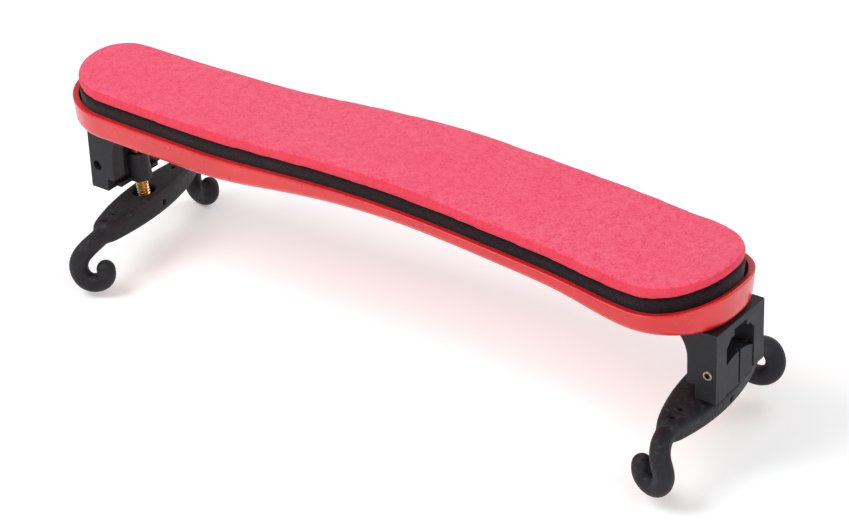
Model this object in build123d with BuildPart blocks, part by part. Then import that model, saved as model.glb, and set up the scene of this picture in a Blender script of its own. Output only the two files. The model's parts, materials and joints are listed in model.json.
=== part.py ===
from build123d import *
import os
from math import cos, pi, radians, sin, sqrt

# Violin shoulder rest: a bowed tray with a foam core and a soft top pad, and at
# each end a bracket that carries a fold-down swivel block, a threaded brass stem
# and a foot with two rubber hooks that grip the violin's lower edge.
#
# Millimetres. +X runs along the rest towards its wide end, +Y away from the
# player's front side, +Z up. The origin is on the plane the hooks stand on,
# below the middle of the tray.
#
# Each end is drawn in the right-hand end's own frame: origin on the fold pin,
# +X outward, +Y to the rear, +Z up. The left end is its mirror image.

# ---- tray, foam and pad -----------------------------------------------------
LEFT_END_X = -104.5          # tray's ends at the rim
RIGHT_END_X = 104.8
LEFT_HALF_WIDTH = 16.2       # tray side lines at the two ends
RIGHT_HALF_WIDTH = 21.2
LEFT_FRONT_CORNER = 19.4     # tray plan corner radii
LEFT_REAR_CORNER = 12.6
RIGHT_FRONT_CORNER = 18.5
RIGHT_REAR_CORNER = 19.8
SOFT_CORNER = 1.2            # foam and pad are this much rounder at the wide end's corners
DRAFT = 5.0                  # degrees, tray walls spread upward
DRAFT_LEVEL = 21.0           # above the fold pins, where the walls reach the plan outline
WALL = 1.7                   # tray wall
FLOOR = 2.0                  # tray floor
FOAM_INSET = 2.2             # foam edge, in from the tray's outside
PAD_INSET = 1.9              # pad edge, in from the tray's outside
GLUE = 0.05                  # adhesive film under the foam and under the pad

# The side view is one S-curve: flat at the left, a crest, low at the right. The rim,
# foam and pad lift a little again at both ends; the tray's underside stays flat there.
CURVE_END = 115.0            # the curves run past the tray's ends
LEFT_FLAT_END = -72.6
STATIONS = (-52.6, -22.6, 13.4, 49.4, 67.4, 85.4)

# Heights above the fold pins: at the left end, at the stations, at the right end.
TRAY_BOTTOM = (11.9, 11.9, 15.4, 18.7, 17.0, 15.0, 11.9, 11.9)
RIM_TOP = (21.3, 18.9, 20.8, 22.5, 20.9, 19.4, 17.4, 26.2)
FOAM_TOP = (24.3, 21.9, 23.6, 24.9, 23.4, 21.9, 20.4, 31.0)
PAD_TOP = (28.0, 26.0, 27.6, 29.4, 27.5, 26.2, 24.6, 33.0)

TRAY_EDGE = 2.0              # rounding under the tray
RIM_EDGE = 0.4               # rounding of the rim's outer edge
PAD_TOP_EDGE = 1.3
PAD_BOTTOM_EDGE = 0.6

# ---- ends -------------------------------------------------------------------
PIN_HEIGHT = 28.7            # fold pins above the standing plane
LEFT_PIN_X = -92.1
RIGHT_PIN_X = 101.9

BRACKET_WIDTH = 21.6
CHEEK = 4.5                  # cheek thickness
CHEEK_OUTER = 2.7            # cheek edge outboard of the pin
CHEEK_INNER = 5.5            # cheek edge inboard of the pin
CHEEK_BOTTOM = 7.0           # below the pin
NOTCH_DEPTH = 2.3            # notch in the lower inboard corner
NOTCH_HEIGHT = 3.7
FLARE_START = 3.3            # above the pin
FLARE_RADIUS = 8.9
FLANGE = 1.8
FLANGE_REACH = 14.4          # inboard of the pin
OPENING_SHOULDER = 6.3       # top of the full-width opening, above the pin
SLOT_SHOULDER = 8.4          # foot of the narrow slot, above the pin
SLOT_HALF_WIDTH = 2.9
REAR_CHAMFER = 2.0

SCREW_X = -11.6              # bracket screws, from the pin
SCREW_Y = 4.4
SCREW_RADIUS = 1.2
SCREW_HEAD_RADIUS = 2.3
SCREW_LENGTH = 5.2
SCREW_TIP = 0.6              # length of the pointed tip
CROSS_SLOT = (2.6, 0.55, 0.8)                # length, width, depth of the driver slots
PILOT_DEPTH = 0.2            # pilot holes run past the screw tips
BOSS_RADIUS = 3.0
BOSS_HEIGHT = 2.0            # above the tray floor
BOSS_GAP = 0.2               # foam clears the bosses by this much
PILOT_GAP = 0.05             # radial, pilot holes round the screws
SCREW_GAP = 0.1              # radial, bracket holes round the screws

PIN_RADIUS = 1.45            # pivot screw
PIN_LENGTH = 20.0
RUNNING = 0.05               # radial running clearance
SOCKET_FLATS = 1.5
SOCKET_DEPTH = 2.0
PIN_CHAMFER = 0.25
PIN_RECESS = {"right": 0.1, "left": 1.5}

BLOCK_HALF_WIDTH = 6.0
BLOCK_OUTER = 2.5            # outboard of the pin
BLOCK_INNER = 3.5            # inboard of the pin
BLOCK_BOTTOM = 6.8           # below the pin
BLOCK_SIDE_TOP = 1.2         # above the pin
BLOCK_CROWN = 2.6
BOSS_AROUND_STEM = 3.3
STOP_OUTER = 3.45            # stop wings, inboard of the pin
STOP_INNER = 5.0
STOP_HALF_WIDTH = 7.6
STOP_THICKNESS = 1.25
GROOVE_WIDTH = 0.8
GROOVE_DEPTH = 0.9

# ---- stem and foot ----------------------------------------------------------
STEM_RADIUS = 1.75
STEM_LEAN = 7.5              # degrees, top outward
STEM_AXIS_X = -4.4           # where the stem's axis crosses the pin's height
STEM_ABOVE_FOOT = 14.0
STEM_IN_FOOT = 4.4
STEM_CHAMFER = 0.45
FOOT_DROP = {"right": 8.4, "left": 11.1}     # foot's top face below the pin, along the stem
FOOT_YAW = {"right": 3.5, "left": -8.3}      # about the stem, in the end's own frame

NUT_TOP = -1.4               # along the stem from the pin's height
NUT_BOTTOM = -5.6
NUT_RADIUS = 2.35
NUT_GAP = 0.01               # radial, insert in its bore
NUT_GROOVE = (0.5, 0.2)      # height and depth of the locking grooves
MOUTH_LEVEL = -5.62          # the ring's mouth is bored up to here
RING_RADIUS = 0.45           # brake ring section
RING_GAP = 0.02              # ring to stem
RING_LEVEL = -6.15

LEAF_HALF_LENGTH = 22.0
LEAF_HALF_WIDTH = 6.3
LEAF_TIP_HALF_WIDTH = 2.7
LEAF_THICKNESS = 5.8
LEAF_EDGE = 1.4
RECESS_RADIUS = 3.4
RECESS_DEPTH = 5.0
SMALL_HOLES = (14.95, 19.05)
SMALL_HOLE_RADIUS = 0.7
SMALL_HOLE_DEPTH = 2.5
CROSS_PIN_RADIUS = 0.8
CROSS_PIN_DEPTH = 3.0        # below the foot's top face
CROSS_PIN_LENGTH = 11.0
CROSS_PIN_CHAMFER = 0.2
PRESS_GAP = 0.01             # radial, cross pin in the foot
FINGER_CORE_RADIUS = 1.6
SLEEVE_RADIUS = 2.6
SLEEVE_START = 20.0
FINGER_LEVEL = -2.9          # finger's centre line inside the leaf
FINGER_START = 15.0
FINGER_BEND = (0.3, 23.0, -3.6)              # where the finger leaves the leaf
CURL_CENTRE = (0.8, 27.5, -10.2)             # outward, along, up, from the foot's centre
CURL_TURN = 18.0             # degrees, hook plane turned towards the foot's tip
CURL_REACH = 3.8             # hook centre line, half its width and half its height
CURL_HALF_HEIGHT = 4.75
CURL_TOP = 60.0              # hook's centre line runs between these angles
LIP_ANGLE = -172.0
CORE_SHORT_OF_LIP = 15.0     # degrees, the stiff core ends inside the sleeve
FINGER_STRAIGHT = 4.0        # finger runs level inside the leaf for this length

ENDS = {"left": (-1, LEFT_PIN_X), "right": (1, RIGHT_PIN_X)}
SEAT = {"left": TRAY_BOTTOM[0], "right": TRAY_BOTTOM[-1]}     # bracket seats above the pins
DEEP = 30.0                  # cuts and columns this deep pass right through
os.makedirs("parts", exist_ok=True)


def save(shape, name):
    """Label a finished piece and write it as its own file."""
    shape.label = name
    export_step(shape, f"parts/{name}.step")


def save_end(shape, side, name):
    """Put a piece drawn in the end frame at its end of the rest, and write it."""
    sign, pin_x = ENDS[side]
    if sign < 0:
        shape = mirror(shape, about=Plane.YZ)
    save(shape.moved(Location((pin_x, 0, PIN_HEIGHT))), f"{side}_{name}")


def plan(inset, level=0.0, softer=0.0):
    """Plan outline of the tray, moved in by inset; softer adds to the wide end's corner radii."""
    left_x = LEFT_END_X + inset
    right_x = RIGHT_END_X - inset
    left_y = LEFT_HALF_WIDTH - inset
    right_y = RIGHT_HALF_WIDTH - inset
    corners = {
        (left_x, -left_y): LEFT_FRONT_CORNER,
        (right_x, -right_y): RIGHT_FRONT_CORNER + softer,
        (right_x, right_y): RIGHT_REAR_CORNER + softer,
        (left_x, left_y): LEFT_REAR_CORNER,
    }
    with BuildSketch(Plane.XY.offset(level)) as outline:
        Polygon(*corners, align=None)
        for (x, y), radius in corners.items():
            corner = outline.vertices().sort_by_distance((x, y, level))[0]
            fillet(corner, radius=radius - inset)
    return outline.sketch


def s_curve(heights, lift):
    """Draw the side-view curve through these heights in the current line; gives its two ends."""
    left, *middle, right = [PIN_HEIGHT + height + lift for height in heights]
    left_end = (-CURVE_END, left)
    flat_end = (LEFT_FLAT_END, middle[0])
    right_end = (CURVE_END, right)
    if left == middle[0]:
        Line(left_end, flat_end)
        Line((STATIONS[-1], right), right_end)
    else:
        TangentArc(flat_end, left_end, tangent=(-1, 0))
        TangentArc((STATIONS[-1], middle[-1]), right_end, tangent=(1, 0))
    Line(flat_end, (STATIONS[0], middle[0]))
    Spline(*zip(STATIONS, middle), tangents=[(1, 0), (1, 0)])
    return left_end, right_end


def side_view(low, high, low_lift, high_lift):
    """Face between two side-view curves."""
    with BuildSketch(Plane.XZ) as view:
        with BuildLine():
            low_left, low_right = s_curve(low, low_lift)
            high_left, high_right = s_curve(high, high_lift)
            Line(low_left, high_left)
            Line(low_right, high_right)
        make_face()
    return view.sketch


def between(low, high, low_lift=0.0, high_lift=0.0):
    """Slab across the whole width between two side-view curves."""
    face = side_view(low, high, low_lift, high_lift)
    return extrude(face, amount=DEEP, both=True, mode=Mode.PRIVATE)


def outer_edges(part, up):
    """Edges all round a part's underside (up = -1) or its upper face (up = 1)."""
    level = part.faces().filter_by(lambda face: up * face.normal_at().Z > 0.5)
    upright = part.faces().filter_by(lambda face: abs(face.normal_at().Z) < 0.3)
    return ShapeList(set(level.edges()) & set(upright.edges()))


def screw_centres(*sides):
    """Bracket screw axes at these ends, in the rest's own plan."""
    ends = [ENDS[side] for side in sides]
    return [(pin_x + sign * SCREW_X, y) for sign, pin_x in ends for y in (-SCREW_Y, SCREW_Y)]


def tray_column(inset, softer=0.0):
    """Column with the tray's plan and draft, taller than the tray."""
    section = plan(inset, PIN_HEIGHT + DRAFT_LEVEL, softer)
    with BuildPart() as column:
        extrude(section, amount=-DEEP, taper=DRAFT)
        extrude(section, amount=DEEP, taper=-DRAFT)
    return column.part


# ---- tray -------------------------------------------------------------------
with BuildPart() as body_shell:
    add(tray_column(0))
    add(between(TRAY_BOTTOM, RIM_TOP), mode=Mode.INTERSECT)
    fillet(outer_edges(body_shell, -1), radius=TRAY_EDGE)
    fillet(outer_edges(body_shell, 1), radius=RIM_EDGE)

with BuildPart() as hollow:
    add(tray_column(WALL))
    add(between(TRAY_BOTTOM, RIM_TOP, low_lift=FLOOR, high_lift=RIM_TOP[0]), mode=Mode.INTERSECT)

with BuildPart() as bosses:
    with BuildSketch(Plane.XY.offset(PIN_HEIGHT + TRAY_BOTTOM[0])):
        with Locations(*screw_centres(*ENDS)):
            Circle(BOSS_RADIUS)
    extrude(amount=DEEP)
    boss_band = between(TRAY_BOTTOM, TRAY_BOTTOM, low_lift=FLOOR / 2, high_lift=FLOOR + BOSS_HEIGHT)
    add(boss_band, mode=Mode.INTERSECT)

with body_shell:
    add(hollow.part, mode=Mode.SUBTRACT)
    add(bosses.part)
    for side, seat in SEAT.items():
        with BuildSketch(Plane.XY.offset(PIN_HEIGHT + seat)):
            with Locations(*screw_centres(side)):
                Circle(SCREW_RADIUS + PILOT_GAP)
        extrude(amount=SCREW_LENGTH - FLANGE + PILOT_DEPTH, mode=Mode.SUBTRACT)
save(body_shell.part, "body_shell")

# ---- foam core and top pad --------------------------------------------------
with BuildPart() as foam_core:
    add(tray_column(FOAM_INSET, SOFT_CORNER))
    add(between(TRAY_BOTTOM, FOAM_TOP, low_lift=FLOOR + GLUE), mode=Mode.INTERSECT)
    with BuildSketch(Plane.XY.offset(PIN_HEIGHT)):
        with Locations(*screw_centres(*ENDS)):
            Circle(BOSS_RADIUS + BOSS_GAP)
    extrude(amount=max(SEAT.values()) + FLOOR + BOSS_HEIGHT + BOSS_GAP, mode=Mode.SUBTRACT)
save(foam_core.part, "foam_core")

with BuildPart() as top_pad:
    extrude(plan(PAD_INSET, PIN_HEIGHT, SOFT_CORNER), amount=DEEP + PAD_TOP[0])
    add(between(FOAM_TOP, PAD_TOP, low_lift=GLUE), mode=Mode.INTERSECT)
    fillet(outer_edges(top_pad, 1), radius=PAD_TOP_EDGE)
    fillet(outer_edges(top_pad, -1), radius=PAD_BOTTOM_EDGE)
save(top_pad.part, "top_pad")


# ---- bracket ----------------------------------------------------------------
def make_bracket(seat):
    """Bracket under the tray: flange, two cheeks and the opening between them."""
    under_flange = seat - FLANGE
    flare_rise = under_flange - FLARE_START
    flare_x = -CHEEK_INNER - FLARE_RADIUS + sqrt(FLARE_RADIUS**2 - flare_rise**2)
    notch_x = -CHEEK_INNER + NOTCH_DEPTH
    notch_z = -CHEEK_BOTTOM + NOTCH_HEIGHT
    gap = BRACKET_WIDTH / 2 - CHEEK
    with BuildPart() as bracket:
        with BuildSketch(Plane.XZ):
            with BuildLine():
                Polyline((-CHEEK_INNER, FLARE_START), (-CHEEK_INNER, notch_z), (notch_x, notch_z),
                         (notch_x, -CHEEK_BOTTOM), (CHEEK_OUTER, -CHEEK_BOTTOM), (CHEEK_OUTER, seat),
                         (-FLANGE_REACH, seat), (-FLANGE_REACH, under_flange), (flare_x, under_flange))
                RadiusArc((-CHEEK_INNER, FLARE_START), (flare_x, under_flange), -FLARE_RADIUS)
            make_face()
        extrude(amount=BRACKET_WIDTH / 2, both=True)
        with BuildSketch(Plane.YZ):
            with BuildLine():
                shoulder = gap - (SLOT_SHOULDER - OPENING_SHOULDER)
                half = [(gap, -CHEEK_BOTTOM - 1), (gap, OPENING_SHOULDER), (shoulder, SLOT_SHOULDER),
                        (SLOT_HALF_WIDTH, SLOT_SHOULDER), (SLOT_HALF_WIDTH, under_flange)]
                Polyline(*half, *[(-y, z) for y, z in reversed(half)], close=True)
            make_face()
        extrude(amount=DEEP, both=True, mode=Mode.SUBTRACT)
        with BuildSketch(Plane.XZ):
            Circle(PIN_RADIUS + RUNNING)
        extrude(amount=BRACKET_WIDTH, both=True, mode=Mode.SUBTRACT)
        lowest = bracket.edges().filter_by(Axis.Y).group_by(Axis.Z)[0]
        outer_rear = lowest.sort_by(Axis.X)[-2:].sort_by(Axis.Y)[-1]
        chamfer(outer_rear, length=REAR_CHAMFER)
        with Locations(Plane((SCREW_X, 0, under_flange), x_dir=(1, 0, 0), z_dir=(0, 0, -1))):
            with Locations((0, -SCREW_Y), (0, SCREW_Y)):
                CounterSinkHole(SCREW_RADIUS + SCREW_GAP, SCREW_HEAD_RADIUS + SCREW_GAP, depth=2 * FLANGE)
    return bracket.part


def make_bracket_screws(seat):
    """Two countersunk screws, heads flush with the flange's underside."""
    under_flange = seat - FLANGE
    head = SCREW_HEAD_RADIUS - SCREW_RADIUS
    slot_length, slot_width, slot_depth = CROSS_SLOT
    with BuildPart() as screws:
        with BuildSketch(Plane.XZ):
            with BuildLine():
                Polyline((0, 0), (SCREW_HEAD_RADIUS, 0), (SCREW_RADIUS, head),
                         (SCREW_RADIUS, SCREW_LENGTH - SCREW_TIP), (SCREW_RADIUS - SCREW_TIP, SCREW_LENGTH),
                         (0, SCREW_LENGTH), close=True)
            make_face()
        revolve(axis=Axis.Z)
        with BuildSketch():
            Rectangle(slot_length, slot_width)
            Rectangle(slot_width, slot_length)
        extrude(amount=slot_depth, mode=Mode.SUBTRACT)
    with BuildPart() as pair:
        with Locations((SCREW_X, -SCREW_Y, under_flange), (SCREW_X, SCREW_Y, under_flange)):
            add(screws.part)
    return pair.part


# ---- pivot screw ------------------------------------------------------------
def make_pivot_screw(recess):
    """Socket set screw the block turns on, its socket at the front."""
    front = Plane((0, -BRACKET_WIDTH / 2 + recess, 0), x_dir=(1, 0, 0), z_dir=(0, 1, 0))
    with BuildPart() as screw:
        with BuildSketch(front):
            Circle(PIN_RADIUS)
        extrude(amount=PIN_LENGTH)
        chamfer(screw.edges().filter_by(GeomType.CIRCLE), length=PIN_CHAMFER)
        with BuildSketch(front):
            RegularPolygon(SOCKET_FLATS / 2, 6, major_radius=False)
        extrude(amount=SOCKET_DEPTH, mode=Mode.SUBTRACT)
    return screw.part


# ---- swivel block, nut insert, brake ring, stem -----------------------------
lean = radians(STEM_LEAN)
stem_plane = Plane((STEM_AXIS_X, 0, 0), x_dir=(cos(lean), 0, -sin(lean)), z_dir=(sin(lean), 0, cos(lean)))
ring_centre_radius = STEM_RADIUS + RING_GAP + RING_RADIUS


def make_swivel_block():
    """Block between the cheeks, with the stem's boss, the stop wings and its bores."""
    with BuildPart() as block:
        with BuildSketch(stem_plane):
            Circle(BOSS_AROUND_STEM)
        extrude(amount=2 * BLOCK_BOTTOM, both=True)
        with BuildSketch(Plane.XY.offset(-BLOCK_BOTTOM)):
            Rectangle(DEEP, DEEP)
        extrude(amount=BLOCK_BOTTOM + BLOCK_SIDE_TOP, mode=Mode.INTERSECT)
        with BuildSketch(Plane.YZ.offset(-BLOCK_INNER)):
            with BuildLine():
                Polyline((BLOCK_HALF_WIDTH, BLOCK_SIDE_TOP), (BLOCK_HALF_WIDTH, -BLOCK_BOTTOM),
                         (-BLOCK_HALF_WIDTH, -BLOCK_BOTTOM), (-BLOCK_HALF_WIDTH, BLOCK_SIDE_TOP))
                ThreePointArc((-BLOCK_HALF_WIDTH, BLOCK_SIDE_TOP), (0, BLOCK_CROWN),
                              (BLOCK_HALF_WIDTH, BLOCK_SIDE_TOP))
            make_face()
        extrude(amount=BLOCK_INNER + BLOCK_OUTER)
        with BuildSketch(Plane.XY.offset(-BLOCK_BOTTOM)):
            with Locations((-(STOP_OUTER + STOP_INNER) / 2, 0)):
                Rectangle(STOP_INNER - STOP_OUTER, 2 * STOP_HALF_WIDTH)
        extrude(amount=STOP_THICKNESS)
        with BuildSketch(Plane.XZ):
            Circle(PIN_RADIUS + RUNNING)
        extrude(amount=BRACKET_WIDTH, both=True, mode=Mode.SUBTRACT)
        with BuildSketch(Plane.XY.offset(-BLOCK_BOTTOM)):
            with Locations((BLOCK_OUTER - GROOVE_DEPTH / 2, 0)):
                Rectangle(GROOVE_DEPTH, GROOVE_WIDTH)
        extrude(amount=2 * BLOCK_BOTTOM, mode=Mode.SUBTRACT)
        with BuildSketch(stem_plane):
            Circle(STEM_RADIUS + 2 * RUNNING)
        extrude(amount=2 * BLOCK_BOTTOM, both=True, mode=Mode.SUBTRACT)
        with BuildSketch(stem_plane.offset(NUT_TOP)):
            Circle(NUT_RADIUS + NUT_GAP)
        extrude(amount=-2 * BLOCK_BOTTOM, mode=Mode.SUBTRACT)
        with BuildSketch(stem_plane.offset(MOUTH_LEVEL)):
            Circle(ring_centre_radius + RING_RADIUS + RUNNING)
        extrude(amount=-BLOCK_BOTTOM, mode=Mode.SUBTRACT)
    return block.part


def make_nut_insert():
    """Knurled brass insert, drawn with two locking grooves around its outside."""
    length = NUT_TOP - NUT_BOTTOM
    groove_height, groove_depth = NUT_GROOVE
    with BuildPart() as nut:
        with BuildSketch(stem_plane.offset(NUT_BOTTOM)):
            Circle(NUT_RADIUS)
            Circle(STEM_RADIUS + RUNNING, mode=Mode.SUBTRACT)
        extrude(amount=length)
        for share in (1 / 3, 2 / 3):
            with BuildSketch(stem_plane.offset(NUT_BOTTOM + share * length - groove_height / 2)):
                Circle(NUT_RADIUS)
                Circle(NUT_RADIUS - groove_depth, mode=Mode.SUBTRACT)
            extrude(amount=groove_height, mode=Mode.SUBTRACT)
    return nut.part


def make_brake_ring():
    """Rubber ring in the block's lower mouth that keeps the thread from creeping."""
    section = Plane(stem_plane.origin, x_dir=stem_plane.x_dir, z_dir=-stem_plane.y_dir)
    with BuildPart() as ring:
        with BuildSketch(section):
            with Locations((ring_centre_radius, RING_LEVEL)):
                Circle(RING_RADIUS)
        revolve(axis=Axis(stem_plane.origin, stem_plane.z_dir))
    return ring.part


def make_stem(foot_plane):
    """Brass threaded stem, cross-drilled near its foot end."""
    with BuildPart() as stem:
        with BuildSketch(foot_plane.offset(-STEM_IN_FOOT)):
            Circle(STEM_RADIUS)
        extrude(amount=STEM_IN_FOOT + STEM_ABOVE_FOOT)
        chamfer(stem.edges().filter_by(GeomType.CIRCLE), length=STEM_CHAMFER)
        cross = foot_plane.offset(-CROSS_PIN_DEPTH)
        with BuildSketch(Plane(cross.origin, x_dir=cross.y_dir, z_dir=cross.x_dir)):
            Circle(CROSS_PIN_RADIUS + RUNNING)
        extrude(amount=2 * STEM_RADIUS, both=True, mode=Mode.SUBTRACT)
    return stem.part


# ---- foot -------------------------------------------------------------------
# Drawn in its own frame: origin where the stem meets the top face, +X outward,
# +Y along the foot, +Z up the stem.
def curl_point(angle):
    """Point on the hook's centre line; 90 is its top, 0 its outer side, -90 its bottom."""
    out, along, up = CURL_CENTRE
    reach = CURL_REACH * cos(radians(angle))
    turn = radians(CURL_TURN)
    return (out + reach * cos(turn), along + reach * sin(turn), up + CURL_HALF_HEIGHT * sin(radians(angle)))


def make_finger(radius, last_angle):
    """Round finger at the rear end of the foot, from inside the leaf to a rounded lip."""
    steps = 4
    angles = [CURL_TOP + (last_angle - CURL_TOP) * step / steps for step in range(steps + 1)]
    start = (0, FINGER_START, FINGER_LEVEL)
    with BuildPart() as finger:
        with BuildLine():
            level_end = (0, FINGER_START + FINGER_STRAIGHT, FINGER_LEVEL)
            path = Spline(start, level_end, FINGER_BEND, *[curl_point(angle) for angle in angles])
        with BuildSketch(Plane(start, x_dir=(1, 0, 0), z_dir=path % 0)):
            Circle(radius)
        sweep()
        with Locations(path @ 1):
            Sphere(radius)
    return finger.part


def make_foot_core():
    """Stiff leaf with a finger core at each end, the stem's recess and the pin's hole."""
    core_finger = make_finger(FINGER_CORE_RADIUS, LIP_ANGLE + CORE_SHORT_OF_LIP)
    with BuildPart() as core:
        with BuildSketch():
            with BuildLine():
                tip, mid, end = LEAF_TIP_HALF_WIDTH, LEAF_HALF_WIDTH, LEAF_HALF_LENGTH
                ThreePointArc((tip, -end), (mid, 0), (tip, end))
                Line((tip, end), (-tip, end))
                ThreePointArc((-tip, end), (-mid, 0), (-tip, -end))
                Line((-tip, -end), (tip, -end))
            make_face()
        extrude(amount=-LEAF_THICKNESS)
        fillet(core.edges(), radius=LEAF_EDGE)
        add(core_finger)
        add(mirror(core_finger, about=Plane.XZ))
        with BuildSketch():
            Circle(RECESS_RADIUS)
        extrude(amount=-RECESS_DEPTH, mode=Mode.SUBTRACT)
        with BuildSketch():
            with Locations(*[(0, sign * along) for along in SMALL_HOLES for sign in (-1, 1)]):
                Circle(SMALL_HOLE_RADIUS)
        extrude(amount=-SMALL_HOLE_DEPTH, mode=Mode.SUBTRACT)
        with BuildSketch(Plane.YZ):
            with Locations((0, -CROSS_PIN_DEPTH)):
                Circle(CROSS_PIN_RADIUS + PRESS_GAP)
        extrude(amount=DEEP, both=True, mode=Mode.SUBTRACT)
    return core.part


def make_cross_pin():
    """Brass pin through the foot and the stem's end."""
    with BuildPart() as pin:
        with BuildSketch(Plane.YZ.offset(-CROSS_PIN_LENGTH / 2)):
            with Locations((0, -CROSS_PIN_DEPTH)):
                Circle(CROSS_PIN_RADIUS)
        extrude(amount=CROSS_PIN_LENGTH)
        chamfer(pin.edges().filter_by(GeomType.CIRCLE), length=CROSS_PIN_CHAMFER)
    return pin.part


def make_sleeve(core):
    """Rubber sleeve over the rear finger core."""
    with BuildPart() as sleeve:
        add(make_finger(SLEEVE_RADIUS, LIP_ANGLE))
        add(core, mode=Mode.SUBTRACT)
        split(bisect_by=Plane((0, SLEEVE_START, 0), z_dir=(0, 1, 0)), keep=Keep.TOP)
    return sleeve.part


foot_core = make_foot_core()
cross_pin = make_cross_pin()
rear_sleeve = make_sleeve(foot_core)
front_sleeve = mirror(rear_sleeve, about=Plane.XZ)

for side, seat in SEAT.items():
    save_end(make_bracket(seat), side, "bracket")
    save_end(make_bracket_screws(seat), side, "bracket_screws")
    save_end(make_pivot_screw(PIN_RECESS[side]), side, "pivot_screw")
    save_end(make_swivel_block(), side, "swivel_block")
    save_end(make_nut_insert(), side, "nut_insert")
    save_end(make_brake_ring(), side, "brake_ring")
    foot_top = stem_plane.offset(-FOOT_DROP[side])
    foot_plane = Plane(foot_top.location * Location((0, 0, 0), (0, 0, FOOT_YAW[side])))
    save_end(make_stem(foot_plane), side, "stem")
    save_end(foot_core.moved(foot_plane.location), side, "foot_core")
    save_end(cross_pin.moved(foot_plane.location), side, "cross_pin")
    save_end(front_sleeve.moved(foot_plane.location), side, "front_hook_sleeve")
    save_end(rear_sleeve.moved(foot_plane.location), side, "rear_hook_sleeve")
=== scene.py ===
import json
import math

import bmesh
import bpy
import numpy as np
from mathutils import Matrix, Vector


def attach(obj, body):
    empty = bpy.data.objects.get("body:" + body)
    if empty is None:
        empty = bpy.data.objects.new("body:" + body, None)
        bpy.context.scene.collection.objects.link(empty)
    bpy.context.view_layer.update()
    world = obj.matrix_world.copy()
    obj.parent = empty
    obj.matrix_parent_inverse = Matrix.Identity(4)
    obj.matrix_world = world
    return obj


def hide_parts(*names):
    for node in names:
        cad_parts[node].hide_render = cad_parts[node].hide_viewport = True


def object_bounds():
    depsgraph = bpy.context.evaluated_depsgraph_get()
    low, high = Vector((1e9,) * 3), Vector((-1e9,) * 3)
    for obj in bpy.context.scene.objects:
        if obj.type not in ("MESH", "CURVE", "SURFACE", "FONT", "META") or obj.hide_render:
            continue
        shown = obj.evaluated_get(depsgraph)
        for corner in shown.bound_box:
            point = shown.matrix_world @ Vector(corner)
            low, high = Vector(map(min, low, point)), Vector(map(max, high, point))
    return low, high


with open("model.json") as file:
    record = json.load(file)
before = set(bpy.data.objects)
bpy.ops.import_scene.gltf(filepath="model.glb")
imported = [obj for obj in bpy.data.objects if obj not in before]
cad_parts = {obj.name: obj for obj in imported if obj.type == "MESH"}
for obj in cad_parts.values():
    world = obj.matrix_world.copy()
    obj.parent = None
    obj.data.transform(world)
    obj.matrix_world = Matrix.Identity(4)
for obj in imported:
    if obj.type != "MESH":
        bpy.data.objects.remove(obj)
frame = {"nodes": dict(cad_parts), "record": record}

MM = 0.001
CAD_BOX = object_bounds()
NODES = frame["nodes"]
SIDES = ("left", "right")


# ---- node materials ---------------------------------------------------------
class Surface:
    """A Principled material built node by node."""

    def __init__(self, name):
        self.material = bpy.data.materials.new(name)
        self.material.use_nodes = True
        self.tree = self.material.node_tree
        self.shader = self.tree.nodes["Principled BSDF"]
        self.place = self.tree.nodes.new("ShaderNodeTexCoord").outputs["Object"]

    def put(self, socket, value):
        """Link or set one input."""
        if isinstance(value, bpy.types.NodeSocket):
            self.tree.links.new(value, socket)
        else:
            socket.default_value = value

    def node(self, kind, settings=None, **inputs):
        made = self.tree.nodes.new(kind)
        for key, value in (settings or {}).items():
            setattr(made, key, value)
        for key, value in inputs.items():
            self.put(made.inputs[key], value)
        return made

    def stretched(self, x, y, z):
        """Object coordinates scaled differently along each axis."""
        return self.node("ShaderNodeMapping", Vector=self.place, Scale=(x, y, z)).outputs[0]

    def noise(self, size_mm, detail=3.0, vector=None):
        """Noise with features of about this size, 0 to 1."""
        made = self.node("ShaderNodeTexNoise", Vector=vector or self.place, Scale=1 / (size_mm * MM),
                         Detail=detail)
        return made.outputs["Fac"]

    def cells(self, size_mm):
        """Distance to the nearest of scattered points about this far apart."""
        made = self.node("ShaderNodeTexVoronoi", Vector=self.place, Scale=1 / (size_mm * MM))
        return made.outputs["Distance"]

    def span(self, value, low, high, to_low, to_high):
        """Map a value's range to another range, held at the ends."""
        made = self.node("ShaderNodeMapRange")
        for index, item in enumerate((value, low, high, to_low, to_high)):
            self.put(made.inputs[index], item)
        return made.outputs["Result"]

    def math(self, operation, first, second=0.0):
        made = self.node("ShaderNodeMath", {"operation": operation})
        self.put(made.inputs[0], first)
        self.put(made.inputs[1], second)
        return made.outputs["Value"]

    def mix(self, share, first, second):
        """Colour mix."""
        made = self.node("ShaderNodeMix", {"data_type": "RGBA"})
        self.put(made.inputs[0], share)
        self.put(made.inputs[6], first)
        self.put(made.inputs[7], second)
        return made.outputs[2]

    def edges(self, radius_mm):
        """1 on sharp outer edges, 0 on flats, with the rounded normal that goes with it."""
        rounded = self.node("ShaderNodeBevel", {"samples": 6}, Radius=radius_mm * MM).outputs["Normal"]
        flat = self.node("ShaderNodeNewGeometry").outputs["Normal"]
        dot = self.node("ShaderNodeVectorMath", {"operation": "DOT_PRODUCT"})
        self.put(dot.inputs[0], rounded)
        self.put(dot.inputs[1], flat)
        return self.span(dot.outputs["Value"], 0.99, 0.75, 0.0, 1.0), rounded

    def bump(self, height, depth_mm, strength=1.0, normal=None):
        made = self.node("ShaderNodeBump", Height=height, Distance=depth_mm * MM, Strength=strength)
        if normal is not None:
            self.put(made.inputs["Normal"], normal)
        return made.outputs["Normal"]

    def finish(self, **inputs):
        for key, value in inputs.items():
            self.put(self.shader.inputs[key.replace("_", " ")], value)
        return self.material


def rgb(red, green, blue):
    """sRGB 0-255 to a linear colour."""
    return tuple(((c / 255 + 0.055) / 1.055) ** 2.4 for c in (red, green, blue)) + (1.0,)


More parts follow.
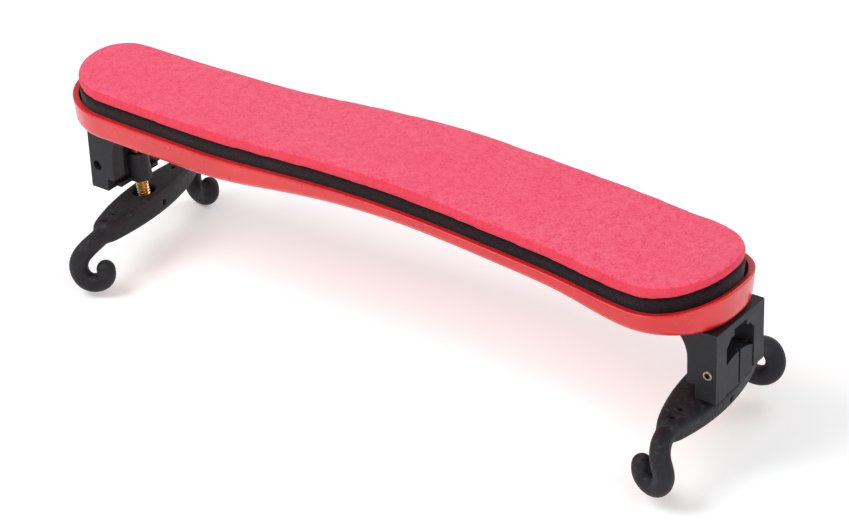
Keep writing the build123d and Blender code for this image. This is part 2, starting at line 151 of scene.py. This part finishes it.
def shell_plastic():
    """Satin moulded red plastic with a painted pale highlight along the rim line and other sharp edges."""
    s = Surface("shell_red_plastic")
    edge, rounded = s.edges(0.45)
    cloud = s.noise(18, 2)
    base = s.mix(s.span(cloud, 0.35, 0.65, 0.0, 1.0), rgb(208, 24, 31), rgb(219, 34, 41))
    # painted highlight: a pale pink line along the shell's rim and sharp edges
    base = s.mix(s.math("MULTIPLY", edge, 0.55), base, rgb(246, 150, 150))
    scuffs = s.noise(3.5, 4)
    normal = s.bump(s.noise(0.35, 2), 0.010, 0.5, rounded)
    normal = s.bump(s.noise(9, 1), 0.05, 0.3, normal)
    rough = s.span(scuffs, 0.35, 0.7, 0.26, 0.36)
    return s.finish(
        Base_Color=base, Roughness=rough, Normal=normal, Subsurface_Weight=0.12,
        Subsurface_Radius=(0.004, 0.001, 0.001), Subsurface_Scale=0.25, Coat_Weight=0.25, Coat_Roughness=0.18,
    )


def pad_fabric():
    """Fine coral-pink velour: short pile, mottled, with tiny bright and dark fibres."""
    s = Surface("pad_velour")
    grain = s.noise(0.55, 4)
    pile = s.noise(0.22, 2)
    clump = s.noise(1.9, 3)
    cloud = s.noise(24, 2)
    base = s.mix(s.span(grain, 0.32, 0.68, 0.0, 1.0), rgb(226, 62, 92), rgb(248, 106, 132))
    base = s.mix(s.span(clump, 0.4, 0.68, 0.0, 0.45), base, rgb(252, 120, 142))
    base = s.mix(s.span(cloud, 0.35, 0.7, 0.0, 0.35), base, rgb(236, 74, 104))
    base = s.mix(s.span(s.cells(0.8), 0.16, 0.05, 0.0, 0.55), base, rgb(255, 168, 182))
    base = s.mix(s.span(pile, 0.66, 0.78, 0.0, 0.4), base, rgb(206, 44, 76))
    # painted shade: the pad's sides are coloured darker and redder than its top, by how far the normal turns
    # from up
    up = s.node("ShaderNodeSeparateXYZ", Vector=s.node("ShaderNodeNewGeometry").outputs["Normal"]).outputs["Z"]
    base = s.mix(s.span(up, 0.8, 0.45, 0.0, 0.6), base, rgb(226, 46, 64))
    normal = s.bump(s.cells(0.42), 0.10, 0.55)
    normal = s.bump(grain, 0.16, 0.5, normal)
    normal = s.bump(clump, 0.12, 0.35, normal)
    return s.finish(
        Base_Color=base, Roughness=s.span(grain, 0.3, 0.7, 0.82, 0.97), Normal=normal, Specular_IOR_Level=0.15,
        Sheen_Weight=0.45, Sheen_Roughness=0.35, Sheen_Tint=rgb(255, 190, 200),
    )


def foam_skin():
    """Black closed-cell foam with a fine open grain on its cut side."""
    s = Surface("foam_cut_face")
    cell = s.cells(0.38)
    grain = s.noise(0.5, 4)
    base = s.mix(s.span(grain, 0.35, 0.7, 0.0, 1.0), rgb(14, 9, 11), rgb(42, 28, 34))
    base = s.mix(s.span(s.cells(0.9), 0.14, 0.04, 0.0, 0.5), base, rgb(70, 52, 58))
    normal = s.bump(cell, 0.12, 0.7)
    normal = s.bump(grain, 0.2, 0.6, normal)
    return s.finish(Base_Color=base, Roughness=s.span(cell, 0.0, 0.5, 0.78, 0.95), Normal=normal,
                    Specular_IOR_Level=0.25, Sheen_Weight=0.15, Sheen_Roughness=0.5)


def black_plastic():
    """Spark-textured black nylon with a painted paler highlight along its edges, broken up by noise."""
    s = Surface("frame_black_nylon")
    edge, rounded = s.edges(0.28)
    spark = s.noise(0.34, 3)
    cloud = s.noise(6, 3)
    base = s.mix(s.span(cloud, 0.3, 0.7, 0.0, 1.0), rgb(24, 24, 27), rgb(36, 36, 40))
    base = s.mix(s.span(spark, 0.56, 0.72, 0.0, 0.5), base, rgb(58, 58, 63))
    # painted highlight: paler edges, made patchy by noise
    edge_highlight = s.math("MULTIPLY", edge, s.span(s.noise(2.2, 3), 0.35, 0.6, 0.25, 0.85))
    base = s.mix(edge_highlight, base, rgb(84, 84, 90))
    normal = s.bump(spark, 0.035, 0.6, rounded)
    rough = s.span(cloud, 0.3, 0.7, 0.42, 0.6)
    return s.finish(Base_Color=base, Roughness=rough, Normal=normal, Specular_IOR_Level=0.3)


def foot_rubber():
    """Soft matt black rubber skin of the feet: fine pits, patchy bumps, a painted reflection lightening the
    upward faces in patches, a dull sheen.
    """
    s = Surface("foot_matt_rubber")
    pits = s.noise(0.3, 3)
    mottle = s.noise(1.2, 4)
    cloud = s.noise(9, 2)
    up = s.node("ShaderNodeSeparateXYZ", Vector=s.node("ShaderNodeNewGeometry").outputs["Normal"]).outputs["Z"]
    base = s.mix(s.span(cloud, 0.3, 0.7, 0.0, 1.0), rgb(22, 21, 24), rgb(34, 33, 37))
    # painted reflection: the grey sheen of the upward faces, painted paler in noise patches
    top_sheen = s.math("MULTIPLY", s.span(mottle, 0.5, 0.72, 0.0, 0.8), s.span(up, 0.2, 0.95, 0.15, 1.0))
    base = s.mix(top_sheen, base, rgb(66, 65, 70))
    normal = s.bump(pits, 0.03, 0.55)
    normal = s.bump(mottle, 0.05, 0.35, normal)
    rough = s.span(mottle, 0.35, 0.7, 0.5, 0.72)
    return s.finish(Base_Color=base, Roughness=rough, Normal=normal, Specular_IOR_Level=0.28,
                    Sheen_Weight=0.04, Sheen_Roughness=0.4)


def turned_brass():
    """Machined brass with fine turning lines, patchy tarnish, and painted shade darkening the thread grooves.
    """
    s = Surface("turned_brass")
    tarnish = s.noise(1.4, 4)
    lines = s.noise(0.25, 2, s.stretched(0.3, 0.3, 3.0))
    groove_shade = s.node("ShaderNodeAmbientOcclusion", {"samples": 6}, Distance=0.5 * MM).outputs["AO"]
    base = s.mix(s.span(tarnish, 0.35, 0.65, 0.0, 1.0), rgb(244, 204, 140), rgb(222, 176, 108))
    # painted shade: ambient occlusion darkens the thread grooves towards dark brown
    base = s.mix(s.span(groove_shade, 0.3, 0.85, 0.8, 0.0), base, rgb(110, 74, 36))
    return s.finish(Base_Color=base, Metallic=1.0, Roughness=s.span(lines, 0.3, 0.7, 0.2, 0.36),
                    Normal=s.bump(lines, 0.008, 0.5))


def plated_steel():
    """Plated set screw, brushed round, a little warm from its oil."""
    s = Surface("plated_steel")
    edge, rounded = s.edges(0.12)
    lines = s.noise(0.2, 2, s.stretched(1.0, 6.0, 1.0))
    oil = s.noise(0.9, 3)
    base = s.mix(s.span(oil, 0.35, 0.65, 0.0, 1.0), rgb(186, 174, 156), rgb(146, 134, 116))
    # painted highlight: a pale line along the screw's sharp edges
    base = s.mix(s.math("MULTIPLY", edge, 0.6), base, rgb(232, 222, 204))
    return s.finish(Base_Color=base, Metallic=1.0, Roughness=s.span(lines, 0.3, 0.7, 0.24, 0.4),
                    Normal=s.bump(lines, 0.006, 0.5, rounded))


LOOKS = {
    "shell": shell_plastic(),
    "pad": pad_fabric(),
    "foam": foam_skin(),
    "frame_plastic": black_plastic(),
    "rubber": foot_rubber(),
    "brass": turned_brass(),
    "steel": plated_steel(),
}


# ---- mesh helpers -----------------------------------------------------------
def joined_copy(name, *nodes):
    """A new object with copies of these CAD nodes' meshes, welded."""
    mesh = bpy.data.meshes.new(name)
    shape = bmesh.new()
    for node in nodes:
        shape.from_mesh(NODES[node].data)
    bmesh.ops.remove_doubles(shape, verts=shape.verts, dist=0.002 * MM)
    shape.to_mesh(mesh)
    shape.free()
    return add_object(name, mesh)


def add_object(name, mesh):
    piece = bpy.data.objects.new(name, mesh)
    bpy.context.scene.collection.objects.link(piece)
    return piece


def bake(piece):
    """Apply every modifier."""
    graph = bpy.context.evaluated_depsgraph_get()
    mesh = bpy.data.meshes.new_from_object(piece.evaluated_get(graph))
    piece.modifiers.clear()
    piece.data = mesh
    return piece


def remesh(piece, voxel_mm):
    """Even quads over the piece."""
    change = piece.modifiers.new("even", "REMESH")
    change.mode = "VOXEL"
    change.voxel_size = voxel_mm * MM
    return bake(piece)


def relax(piece, passes):
    """Add smoothing passes, not yet applied."""
    change = piece.modifiers.new("relax", "SMOOTH")
    change.iterations = passes
    return change


def hug(piece, node):
    """Lay the piece's points back on a CAD node's surface."""
    change = piece.modifiers.new("hug", "SHRINKWRAP")
    change.target = NODES[node]
    change.wrap_method = "NEAREST_SURFACEPOINT"
    return bake(piece)


def shade(piece, slot):
    """Smooth shading and the look of one of the record's material slots."""
    piece.data.materials.clear()
    piece.data.materials.append(LOOKS[slot])
    piece.data.polygons.foreach_set("use_smooth", [True] * len(piece.data.polygons))
    return piece


def points(mesh):
    """The mesh's vertices as rows of x, y, z."""
    flat = np.empty(3 * len(mesh.vertices))
    mesh.vertices.foreach_get("co", flat)
    return flat.reshape(-1, 3)


def set_points(mesh, places):
    mesh.vertices.foreach_set("co", places.ravel())
    mesh.update()


def joint_named(name):
    return next(j for j in frame["record"]["behaviour"]["joints"] if j["name"] == name)


# ---- CAD pieces that stay ---------------------------------------------------
for part in frame["record"]["subparts"]:
    node = NODES[part["node"]]
    if not node.material_slots:
        node.data.materials.append(None)
    for holder in node.material_slots:
        holder.link = "OBJECT"
        holder.material = LOOKS[part["material_slot"]]


# ---- top pad: inflated fabric over its foam ---------------------------------
PAD_VOXEL = 0.8                 # millimetres, like the other lengths of this section
PAD_SHRINK = 0.25               # the pad starts smaller than its CAD solid, and swells
PAD_SWELL = 0.3                 # furthest that a point may move
SWELL_FRAMES = 12
UNDERSIDE = -0.6                # normals that point further down belong to the held underside


def puff(piece):
    """Let cloth pressure swell the piece while its underside stays put."""
    rest = points(piece.data)
    group = piece.vertex_groups.new(name="held")
    group.add([v.index for v in piece.data.vertices if v.normal.z < UNDERSIDE], 1.0, "REPLACE")
    cloth = piece.modifiers.new("cloth", "CLOTH")
    cloth.settings.vertex_group_mass = "held"
    cloth.settings.quality = 6
    cloth.settings.mass = 0.05
    cloth.settings.tension_stiffness = 12
    cloth.settings.compression_stiffness = 12
    cloth.settings.bending_stiffness = 1.5
    cloth.settings.use_pressure = True
    cloth.settings.uniform_pressure_force = 1.0
    cloth.settings.effector_weights.gravity = 0
    cloth.point_cache.frame_start = 1
    cloth.point_cache.frame_end = SWELL_FRAMES
    scene = bpy.context.scene
    for number in range(1, SWELL_FRAMES + 1):
        scene.frame_set(number)
    graph = bpy.context.evaluated_depsgraph_get()
    moved = points(bpy.data.meshes.new_from_object(piece.evaluated_get(graph))) - rest
    length = np.linalg.norm(moved, axis=1, keepdims=True)
    moved *= np.minimum(1.0, PAD_SWELL * MM / np.maximum(length, 1e-9))
    piece.modifiers.clear()
    piece.vertex_groups.clear()
    scene.frame_set(1)
    set_points(piece.data, rest + moved)


def make_pad():
    pad = hug(remesh(joined_copy("velour_pad", "top_pad"), PAD_VOXEL), "top_pad")
    relax(pad, 6)
    shrink = pad.modifiers.new("shrink", "DISPLACE")
    shrink.strength = -PAD_SHRINK * MM
    shrink.mid_level = 0
    bake(pad)
    puff(pad)
    relax(pad, 3)
    pad.modifiers.new("fine", "SUBSURF").levels = 1
    shade(bake(pad), "pad")
    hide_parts("top_pad")
    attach(pad, "base")


make_pad()


# ---- foam core --------------------------------------------------------------
FOAM_VOXEL = 1.0                # millimetres


def make_foam():
    foam = hug(remesh(joined_copy("foam_band", "foam_core"), FOAM_VOXEL), "foam_core")
    relax(foam, 2)
    shade(bake(foam), "foam")
    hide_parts("foam_core")
    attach(foam, "base")


make_foam()


# ---- threaded stems ---------------------------------------------------------
PITCH = 0.8 * MM
THREAD_DEPTH = 0.42 * MM
STEM_RADIUS = 1.75 * MM
RINGS_PER_TURN = 12
SPOKES = 40
END_SHARE = 0.72                # radius at the very end, against the full radius
END_TAPER = 0.7 * MM            # length of the tapered end
FLANK_SLOPE = 2.6               # how steeply the thread's flanks fall, against the pitch
CREST = 1.25                    # above 1 leaves a flat crest


def make_stem(side):
    """Right-hand thread over the CAD stem's own length and axis."""
    axis = Vector(joint_named(f"{side}_height")["axis"]).normalized()
    origin = Vector(joint_named(f"{side}_turn")["pos_m"])
    along = [(v.co - origin).dot(axis) for v in NODES[f"{side}_stem"].data.vertices]
    low, high = min(along), max(along)
    length = high - low
    steps = int(length / PITCH * RINGS_PER_TURN)
    cross = axis.orthogonal().normalized()
    other = axis.cross(cross)
    shape = bmesh.new()
    rings = []
    for step in range(steps + 1):
        height = length * step / steps
        end = min(height, length - height)
        taper = min(1.0, END_SHARE + (1 - END_SHARE) * end / END_TAPER)
        ring = []
        for spoke in range(SPOKES):
            angle = math.tau * spoke / SPOKES
            phase = (height / PITCH - angle / math.tau) % 1.0
            ridge = min(1.0, max(0.0, CREST - FLANK_SLOPE * abs(phase - 0.5)))
            radius = (STEM_RADIUS - THREAD_DEPTH * (1 - ridge)) * taper
            outward = cross * math.cos(angle) + other * math.sin(angle)
            place = origin + axis * (low + height) + outward * radius
            ring.append(shape.verts.new(place))
        rings.append(ring)
    for lower, upper in zip(rings, rings[1:]):
        for spoke in range(SPOKES):
            following = (spoke + 1) % SPOKES
            shape.faces.new((lower[spoke], lower[following], upper[following], upper[spoke]))
    shape.faces.new(list(reversed(rings[0])))
    shape.faces.new(rings[-1])
    mesh = bpy.data.meshes.new(f"{side}_threaded_stem")
    shape.to_mesh(mesh)
    shape.free()
    stem = shade(add_object(f"{side}_threaded_stem", mesh), "brass")
    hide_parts(f"{side}_stem")
    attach(stem, f"{side}_post")


# ---- feet -------------------------------------------------------------------
BLEND_IN = (19.3, 20.6)         # millimetres from the stem, where the extra smoothing grows
BLEND_OUT = (23, 26)            # and where it fades
FOOT_VOXEL = 0.3                # millimetres


def ramp(values, low_mm, high_mm):
    """Smooth rise from 0 to 1 between two lengths."""
    share = np.clip((values - low_mm * MM) / ((high_mm - low_mm) * MM), 0, 1)
    return share * share * (3 - 2 * share)


def blend_necks(foot, side):
    """Extra smoothing where the leaf flows into its hooks."""
    rock = joint_named(f"{side}_rock")
    stem = Vector(joint_named(f"{side}_height")["axis"])
    along = np.array(stem.cross(Vector(rock["axis"])).normalized())
    reach = np.abs((points(foot.data) - np.array(rock["pos_m"])) @ along)
    share = ramp(reach, *BLEND_IN) * (1 - ramp(reach, *BLEND_OUT))
    group = foot.vertex_groups.new(name="necks")
    for index in np.nonzero(share > 0)[0]:
        group.add([int(index)], float(share[index]), "REPLACE")
    relax(foot, 40).vertex_group = "necks"
    bake(foot)
    foot.vertex_groups.clear()


def make_foot(side):
    """Leaf and hooks as one smooth moulded skin, with the CAD core's holes kept open."""
    foot = joined_copy(
        f"{side}_moulded_foot", f"{side}_foot_core", f"{side}_front_hook_sleeve", f"{side}_rear_hook_sleeve"
    )
    remesh(foot, FOOT_VOXEL)
    relax(foot, 4)
    bake(foot)
    blend_necks(foot, side)
    shade(foot, "rubber")
    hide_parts(f"{side}_foot_core", f"{side}_front_hook_sleeve", f"{side}_rear_hook_sleeve")
    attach(foot, f"{side}_foot")


for side in SIDES:
    make_stem(side)
    make_foot(side)


# ---- studio -----------------------------------------------------------------
CAMERA_TARGET = Vector((0.01027, 0.0, 0.02492))
CAMERA_DIRECTION = Vector((0.5279, -0.6817, 0.5065)).normalized()      # from the target to the camera
CAMERA_DISTANCE = 0.76924
CAMERA_ROLL = math.radians(-2.43)
CAMERA_LENS = 127.04
FLOOR_HALF = 3.0
FLOOR_GAP = 0.2 * MM            # between the lowest hook and the floor


def add_floor():
    mesh = bpy.data.meshes.new("studio_floor")
    level = CAD_BOX[0][2] - FLOOR_GAP
    corners = [(x * FLOOR_HALF, y * FLOOR_HALF, level) for x, y in ((-1, -1), (1, -1), (1, 1), (-1, 1))]
    mesh.from_pydata(corners, [], [(0, 1, 2, 3)])
    floor = add_object("studio_floor", mesh)
    s = Surface("studio_floor_paper")
    tone = s.mix(s.noise(60, 2), (0.93, 0.95, 0.95, 1), (0.96, 0.98, 0.98, 1))
    mesh.materials.append(s.finish(Base_Color=tone, Roughness=0.9, Specular_IOR_Level=0.1,
                                   Emission_Color=(1.0, 1.0, 1.0, 1), Emission_Strength=0.24))


def add_light(name, place, size, power):
    """Round soft light, aimed at the middle of the rest."""
    data = bpy.data.lights.new(name, "AREA")
    data.shape = "DISK"
    data.size = size
    data.energy = power
    lamp = bpy.data.objects.new(name, data)
    bpy.context.scene.collection.objects.link(lamp)
    lamp.location = place
    lamp.rotation_euler = (CAMERA_TARGET - Vector(place)).to_track_quat("-Z", "Y").to_euler()


def add_camera():
    back = CAMERA_DIRECTION
    azimuth = math.atan2(back.x, -back.y)
    level = Vector((math.cos(azimuth), math.sin(azimuth), 0))
    rise = back.cross(level)
    right = math.cos(CAMERA_ROLL) * level + math.sin(CAMERA_ROLL) * rise
    up = math.cos(CAMERA_ROLL) * rise - math.sin(CAMERA_ROLL) * level
    data = bpy.data.cameras.new("photo_view")
    data.lens = CAMERA_LENS
    data.sensor_width = 36
    data.clip_start = 0.02
    camera = bpy.data.objects.new("photo_view", data)
    bpy.context.scene.collection.objects.link(camera)
    turn = Matrix((right, up, back)).transposed()
    camera.matrix_world = Matrix.Translation(CAMERA_TARGET + back * CAMERA_DISTANCE) @ turn.to_4x4()
    bpy.context.scene.camera = camera


add_floor()
add_light("key_light", (-0.35, -0.45, 0.75), 0.55, 4.4)
add_light("fill_light", (0.75, -0.35, 0.40), 0.60, 2.0)
add_light("back_light", (0.1, 0.75, 0.60), 0.60, 2.6)
add_camera()

scene = bpy.context.scene
world = bpy.data.worlds.new("studio_air")
scene.world = world
world.use_nodes = True
world.node_tree.nodes["Background"].inputs["Color"].default_value = (1.0, 1.0, 1.0, 1)
world.node_tree.nodes["Background"].inputs["Strength"].default_value = 0.42
scene.view_settings.view_transform = "Standard"
